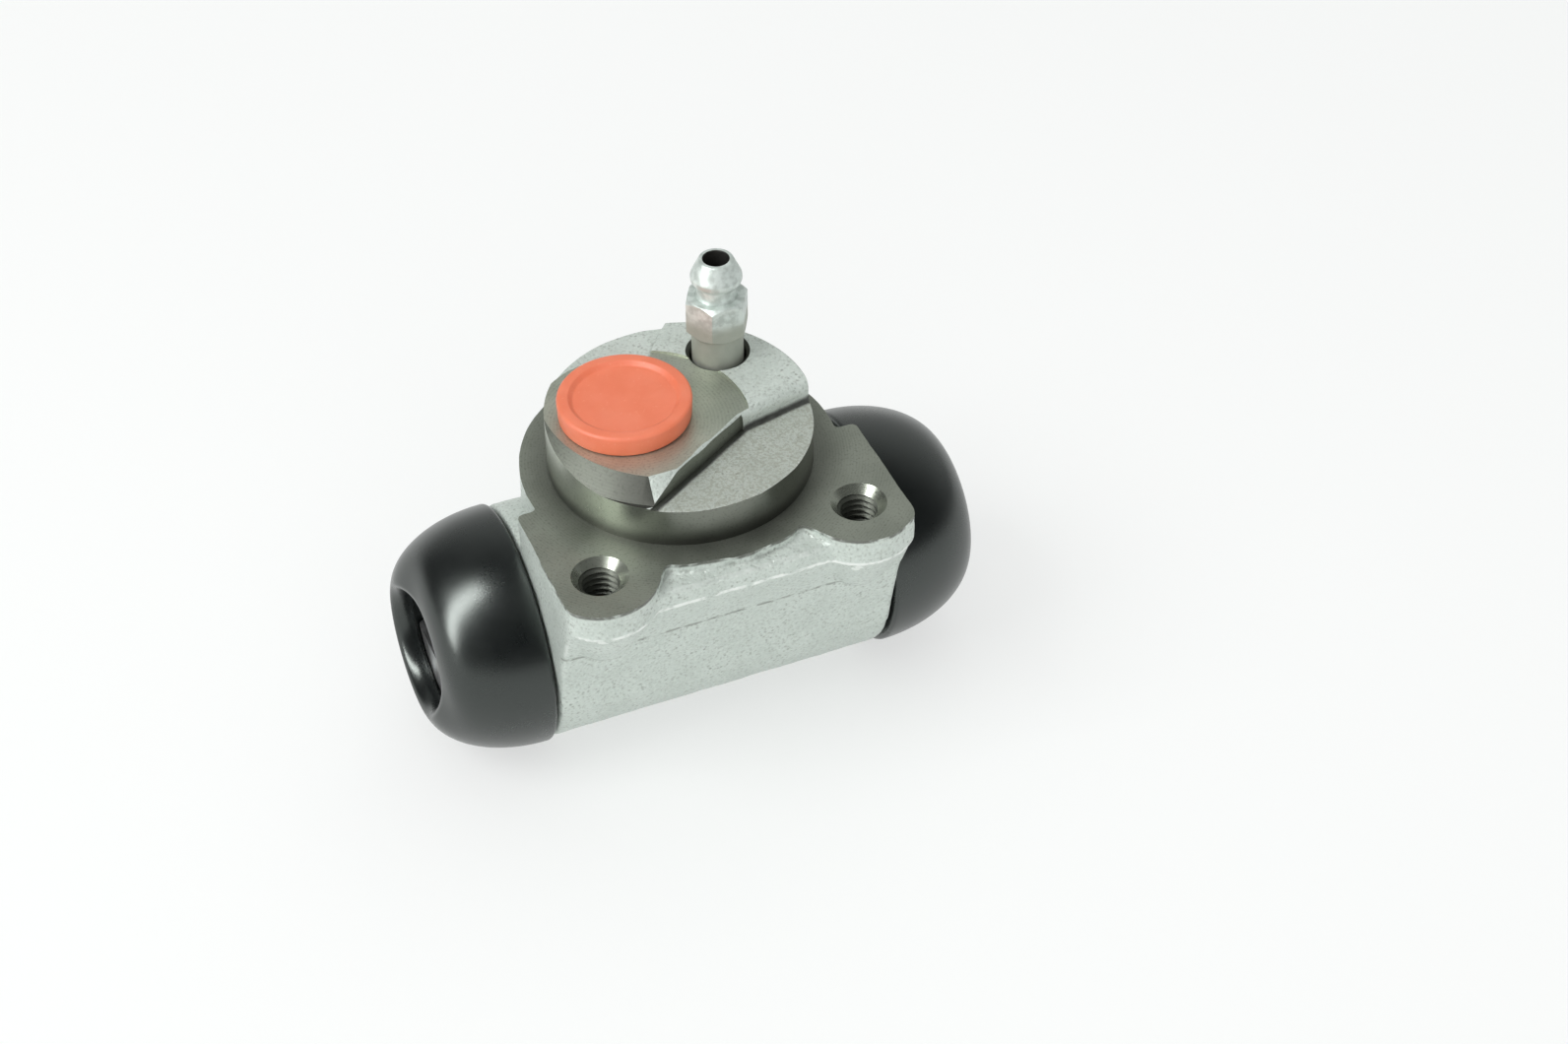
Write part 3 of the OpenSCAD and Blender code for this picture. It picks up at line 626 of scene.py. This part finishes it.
# A moulded rubber boot closes each end: its bead snaps into the casting's neck, its domed wall turns in
# at a rolled mouth for the brake shoe, and an inner lip grips the piston's groove and moves with it.
# The left one has been pressed in a little at the upper front of its mouth.
boot_start, boot_radius, boot_length, boot_wall, shoulder = 25.55, 17.4, 16.0, 2.0, 0.6
mouth_radius, mouth_round, lip_depth = 8.5, 1.4, 2.3
dent, dent_way, dent_start, boot_turns = 1.45, (-0.714, 0.700), -0.1, 160
dome_start = boot_start + shoulder
dome_rise = body_half + boot_length - dome_start
piston_end, head_depth, groove_width = 37.65, 1.6, 2.0
lip_radius, tunnel_radius, boot_gap = 8.8, 9.7, 0.3
bead_radius, neck_fit = 13.1, 14.3
bead_start, bead_end = 27.35, 29.15

boot_rubber, wire = new_finish("boot_rubber")
bloom = wire.grain(7.0, 4.0)
mould = wire.grain(0.3, 2.0)
wire.surface({
    "Base Color": bloom.step(0.35, 0.7).tint((0.0025, 0.0035, 0.004, 1), (0.005, 0.006, 0.0065, 1)),
    "Roughness": 0.2 + bloom * 0.12 + mould * 0.06,
    "IOR": 1.75,
    "Specular Tint": (0.92, 1.0, 0.95, 1),
    "Sheen Weight": 0.05,
    "Sheen Roughness": 0.35,
    "Sheen Tint": (0.75, 0.8, 0.78, 1),
    "Normal": mould.bump(0.02, 0.25),
})


def dome(base, radius, rise, first, last, count):
    """Points of an ellipse from one angle to another, about the mouth's radius."""
    return [(base + radius * math.cos(t), dome_start + rise * math.sin(t))
            for t in np.linspace(first, last, count)]


rim_turn = math.acos(mouth_round / (boot_radius - mouth_radius))
crest = dome_start + dome_rise * math.sin(rim_turn)
lip_foot = crest - lip_depth - 0.01
groove_out = piston_end - head_depth
groove_in = groove_out - groove_width
neck_turn = math.asin((neck_end + boot_gap - dome_start) / (dome_rise - boot_wall))
boot_profile = [(neck_fit, boot_start), (boot_radius - shoulder, boot_start)]
boot_profile += [(boot_radius - shoulder + shoulder * math.sin(t), dome_start - shoulder * math.cos(t))
                 for t in np.linspace(0.3, 1.3, 4)]
boot_profile += dome(mouth_radius, boot_radius - mouth_radius, dome_rise, 0, rim_turn, 44)
boot_profile += [(mouth_radius + mouth_round * (1 + math.cos(t)), crest - lip_depth * (1 - math.sin(t)))
                 for t in np.linspace(math.pi / 2, math.pi, 12)[1:]]
boot_profile += [(mouth_radius, piston_end + 2 * boot_gap), (tunnel_radius, piston_end + boot_gap),
                 (tunnel_radius, groove_out - boot_gap), (lip_radius, groove_out - boot_gap),
                 (lip_radius, groove_in + boot_gap), (tunnel_radius + boot_wall, groove_in + boot_gap)]
boot_profile += dome(mouth_radius, boot_radius - mouth_radius - boot_wall, dome_rise - boot_wall,
                     math.radians(54), neck_turn, 10)
boot_profile += [(neck_fit, neck_end + boot_gap), (neck_fit, bead_end), (bead_radius, bead_end),
                 (bead_radius, bead_start), (neck_fit, bead_start)]
for side, name in ((-1, "left"), (1, "right")):
    points, faces = along_bore(revolved(boot_profile, boot_turns), side)
    if side < 0:
        outer = [h > groove_out and (r > tunnel_radius or h > lip_foot) for r, h in boot_profile]
        reach_out = np.clip((-points[:, 0] - groove_out) / (crest - groove_out), 0, 1)
        facing = (points[:, 1:] - [0, bore_z]) @ dent_way / (mouth_radius + mouth_round)
        facing = np.clip((facing - dent_start) / (1 - dent_start), 0, 1)
        pressed = facing ** 3 * (10 - 15 * facing + 6 * facing ** 2)
        points[:, 0] += np.tile(outer, boot_turns) * dent * reach_out ** 2 * pressed
    boot = smoothed(healed(new_piece(name + "_boot_rubber", points, faces, boot_rubber)), 40)
    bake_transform(boot)
    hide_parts(name + "_boot")


# The bleed screw is turned from hexagon bar, drilled through and bright zinc plated: a cone seals at its
# foot, and a barbed nipple on top takes the bleed hose. It screws into the tapped hole behind the port.
hex_low, hex_top, hex_flats = 13.3, 19.1, 8.0
nipple_top, nipple_radius, screw_neck = 25.1, 3.6, 2.8
neck_top, barb_low, barb_high, inset = 20.8, 21.8, 22.5, 0.1
drill_radius, drill_mouth, mouth_depth = 1.0, 1.8, 3.5
shank_radius, screw_foot, tip_radius, waist_radius, thread_top = 4.0, -5.8, 1.45, 3.65, 6.0

zinc_plate, wire = new_finish("zinc_plate")
frost = wire.grain(1.2, 3.0)
# Towards the hex's foot and down the shank the plate is darker, more olive and rougher.
lower_darkening = (1 - wire.along(0, 0, 1).step((hex_low + 1.4) * mm, (hex_low + 3.8) * mm)) * (0.75 + frost * 0.4)
plate = frost.step(0.35, 0.65).tint((0.495, 0.555, 0.52, 1), (0.695, 0.765, 0.73, 1))
feed = wire.along(0, 0, 1).rings(0.22)
wire.surface({
    "Base Color": (lower_darkening * 0.8).tint(plate, (0.35, 0.365, 0.30, 1)),
    "Metallic": 0.45,
    "Roughness": 0.4 + frost * 0.14 + lower_darkening * 0.1,
    "Normal": (feed * 0.6 + wire.grain(0.25)).bump(0.008, 0.5),
})

# The steel inside the drillings is painted near-black, as shade.
drilled_steel_shade, wire = new_finish("drilled_steel_shade")
film_and_shade = wire.grain(0.6, 2.0)
wire.surface({
    "Base Color": film_and_shade.tint((0.012, 0.012, 0.011, 1), (0.035, 0.034, 0.03, 1)),
    "Metallic": 0.3,
    "Roughness": 0.5 + film_and_shade * 0.2,
    "Normal": film_and_shade.bump(0.01, 0.4),
})


def softened(corners, count=5):
    """A closed profile with each corner (radius, height, rounding) turned into an arc."""
    line = []
    total = len(corners)
    for i, (r, h, round_) in enumerate(corners):
        point = np.array([r, h])
        ways = [np.array(corners[(i + step) % total][:2]) - point for step in (-1, 1)]
        ways = [way / np.linalg.norm(way) for way in ways]
        if not round_:
            line.append(tuple(point))
            continue
        half = math.acos(np.clip(ways[0] @ ways[1], -1, 1)) / 2
        middle = (ways[0] + ways[1]) / np.linalg.norm(ways[0] + ways[1])
        centre = point + middle * round_ / math.sin(half)
        first, last = [point + way * round_ / math.tan(half) - centre for way in ways]
        start = math.atan2(first[1], first[0])
        sweep = (math.atan2(last[1], last[0]) - start + math.pi) % (2 * math.pi) - math.pi
        turns = start + sweep * np.linspace(0, 1, count)
        line += [(centre[0] + round_ * math.cos(t), centre[1] + round_ * math.sin(t)) for t in turns]
    return line


hex_corner = hex_flats / 2 / math.cos(math.pi / 6)
corner_bevel = hex_corner - hex_flats / 2
plated, shaded_drilling = 0, 1
barrel = revolved(softened([
    (0, hex_low, 0), (hex_flats / 2 - inset, hex_low, 0.1), (hex_corner, hex_low + corner_bevel, 0.1),
    (hex_corner, hex_top - corner_bevel, 0.1), (hex_flats / 2 - inset, hex_top, 0.1), (0, hex_top, 0)]), 96)
screw = healed(new_piece("bleed_screw_plated", *upright(barrel, bleed), zinc_plate, drilled_steel_shade))
corners = [(hex_corner * math.cos(a), hex_corner * math.sin(a), h) for h in (hex_low - 1, hex_top + 1)
           for a in np.arange(6) * math.pi / 3]
flats = [(k, (k + 1) % 6, (k + 1) % 6 + 6, k + 6) for k in range(6)]
prism = (corners, [range(6), range(6, 12), *flats])
machine(screw, "hexagon_bar", upright(prism, bleed), plated, operation="INTERSECT")
tip = screw_foot - shank_radius + tip_radius
stem = revolved(softened([
    (0, tip, 0), (tip_radius, tip, 0.2), (shank_radius, screw_foot, 0.3), (shank_radius, thread_top, 0.2),
    (waist_radius, thread_top + 0.6, 0.2), (waist_radius, hex_low - 0.5, 0.4),
    (hex_flats / 2 - 0.25, hex_low + 0.2, 0), (0, hex_low + 0.2, 0)]), 96)
machine(screw, "screw_shank", upright(stem, bleed), plated, operation="UNION")
barb = revolved(softened([
    (0, hex_top - 0.4, 0), (screw_neck + 0.35, hex_top - 0.4, 0), (screw_neck, hex_top + 0.35, 0.4),
    (screw_neck, neck_top, 0.5), (nipple_radius, barb_low, 0.5), (nipple_radius, barb_high, 0.6),
    (drill_mouth + 0.6, nipple_top, 0.35), (0, nipple_top, 0)]), 96)
machine(screw, "hose_nipple", upright(barb, bleed), plated, operation="UNION")
drill_foot, mouth_foot = screw_foot + shank_radius - drill_radius, nipple_top - mouth_depth
bit = revolved([
    (0, drill_foot), (drill_radius, drill_foot), (drill_radius, mouth_foot - 0.6), (drill_mouth, mouth_foot),
    (drill_mouth, nipple_top - inset), (drill_mouth + inset, nipple_top),
    (drill_mouth + inset + 1, nipple_top + 1), (0, nipple_top + 1)], 64)
machine(screw, "screw_drill", upright(bit, bleed), shaded_drilling)
cross, cross_faces = revolved([(0, -5), (drill_radius, -5), (drill_radius, 5), (0, 5)], 48)
cross = np.stack([cross[:, 2], cross[:, 1], cross[:, 0] + screw_foot + shank_radius], axis=1)
machine(screw, "cross_drill", upright((cross, cross_faces), bleed), shaded_drilling)
smoothed(machined(screw), 28)
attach(screw, "bleed_screw")
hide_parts("bleed_screw")


# The orange plug keeps dirt out of the fluid port until a brake pipe is fitted. It is moulded in soft
# polythene, with a dished head, a raised rim and a hollow, slightly tapered stem pushed into the port.
plug_seat, plug_top, plug_radius = 8.9, 12.0, 9.3
rim_width, dish, stem_radius, stem_taper, stem_wall, stem_length = 1.6, 0.6, 4.4, 0.4, 1.2, 8.0

plug_plastic, wire = new_finish("plug_plastic")
flow = wire.grain(5.0, 4.0)
scuff = wire.grain(0.5, 3.0)
skinned = flow.step(0.3, 0.7).tint((0.80, 0.19, 0.09, 1), (0.84, 0.225, 0.12, 1))
wire.surface({
    "Base Color": (scuff.step(0.6, 0.75) * 0.3).tint(skinned, (0.9, 0.36, 0.24, 1)),
    "Roughness": 0.4 + scuff * 0.15,
    "Subsurface Weight": 0.15,
    "Subsurface Radius": (0.002, 0.0008, 0.0004),
    "Normal": (flow * 0.6 + scuff * 0.4).bump(0.05, 0.4),
})

stem_end = plug_seat - stem_length
head = revolved(softened([
    (0, plug_top - dish, 0), (plug_radius - rim_width - dish, plug_top - dish, 0.5),
    (plug_radius - rim_width, plug_top, 0.35), (plug_radius, plug_top, 0.5),
    (plug_radius - 0.15, plug_seat, 0.3), (stem_radius + 0.3, plug_seat, 0.2), (stem_radius, plug_seat - 0.5, 0.3),
    (stem_radius - stem_taper, stem_end, 0.3), (stem_radius - stem_taper - stem_wall, stem_end, 0.3),
    (stem_radius - stem_wall, plug_seat + 0.4, 0.5), (0, plug_seat + 0.4, 0)]), 128)
plug = smoothed(healed(new_piece("port_plug_moulded", *upright(head, port), plug_plastic)), 40)
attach(plug, "port_plug")
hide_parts("port_plug")


# The part stands on a plain pale floor. A tall soft box on its left shows only in gloss; a small key lamp
# beside it, a wide ceiling and a weak front fill light the rest, in a pale room darker to the front right.
# The camera looks down on it from the front left, as in the photograph.
floor_half, paper_white = 2.5, 0.58
camera_turn, camera_rise = math.radians(-23.11), math.radians(42.03)
camera_reach, camera_right, camera_up, lens = 0.38355, 0.01440, -0.00927, 63.32

floor_paint, wire = new_finish("floor_paint")
paint = wire.node("ShaderNodeBsdfPrincipled", {}, {
    "Base Color": wire.grain(40.0).tint((0.90, 0.915, 0.905, 1), (0.905, 0.92, 0.91, 1)),
    "Roughness": 0.9,
    "Specular IOR Level": 0.0,
})
rays = ("Is Camera Ray", "Is Glossy Ray", "Is Transmission Ray")
seen = sum(wire.node("ShaderNodeLightPath", {}, {}, ray) for ray in rays)
white = wire.node("ShaderNodeEmission", {}, {"Color": (0.98, 0.99, 0.985, 1), "Strength": 1.0})
wire.node("ShaderNodeOutputMaterial", {}, {
    "Surface": wire.node("ShaderNodeMixShader", {}, {0: seen * paper_white, 1: paint, 2: white})})
floor = new_piece("floor", np.array([(-1, -1, 0), (1, -1, 0), (1, 1, 0), (-1, 1, 0)]) * floor_half / mm
                  + [0, 0, pad_bottom], [(0, 1, 2, 3)], floor_paint)


def lamp(name, turn, rise, distance, size, power, in_gloss=True, in_matt=True):
    """A soft lamp aimed at the part, from a direction in degrees round from the front and up."""
    turn, rise = math.radians(turn), math.radians(rise)
    light = bpy.data.lights.new(name, "AREA")
    light.shape, (light.size, light.size_y), light.energy = "RECTANGLE", size, power
    stand = bpy.data.objects.new(name, light)
    towards = Vector((math.sin(turn) * math.cos(rise), -math.cos(turn) * math.cos(rise), math.sin(rise)))
    stand.location = towards * distance
    stand.rotation_euler = towards.to_track_quat("Z", "Y").to_euler()
    stand.visible_glossy, stand.visible_diffuse = in_gloss, in_matt
    bpy.context.scene.collection.objects.link(stand)


lamp("soft_box", -78, 40, 0.9, (0.26, 1.1), 12, True, False)
lamp("key", -84, 46, 0.9, (0.5, 0.5), 3.5, False)
lamp("ceiling", 0, 90, 1.0, (3.0, 3.0), 18.5, False)
lamp("front_fill", -10, 25, 1.4, (1.6, 1.2), 8.6, False)

world = bpy.data.worlds.new("room")
world.use_nodes = True
world.node_tree.nodes.clear()
room = Wire(world.node_tree)
way = room.node("ShaderNodeTexCoord", {}, {}, "Generated")
height = room.node("ShaderNodeSeparateXYZ", {}, {0: way}, "Z")
upper = way.dot((0.62, 0.78, 0)).step(0.1, 0.95).tint((0.05, 0.052, 0.05, 1), (0.6, 0.61, 0.6, 1))
level = way.dot((0.7, -0.71, 0)).step(0.1, 0.8).tint((0.72, 0.73, 0.72, 1), (0.08, 0.082, 0.08, 1))
glow = height.step(0.0, 0.25).tint(level, upper)
room.node("ShaderNodeOutputWorld", {}, {"Surface": room.node("ShaderNodeBackground", {}, {"Color": glow})})
bpy.context.scene.world = world

back = Vector((math.sin(camera_turn) * math.cos(camera_rise), -math.cos(camera_turn) * math.cos(camera_rise),
               math.sin(camera_rise)))
right = Vector((math.cos(camera_turn), math.sin(camera_turn), 0))
view = bpy.data.cameras.new("camera")
view.lens, view.sensor_width, view.sensor_fit = lens, 36.0, "HORIZONTAL"
view.clip_start = 0.01
camera = bpy.data.objects.new("camera", view)
camera.location = right * camera_right + back.cross(right) * camera_up + back * camera_reach
camera.rotation_euler = back.to_track_quat("Z", "Y").to_euler()
bpy.context.scene.collection.objects.link(camera)
bpy.context.scene.camera = camera
bpy.context.scene.view_settings.view_transform = "Standard"
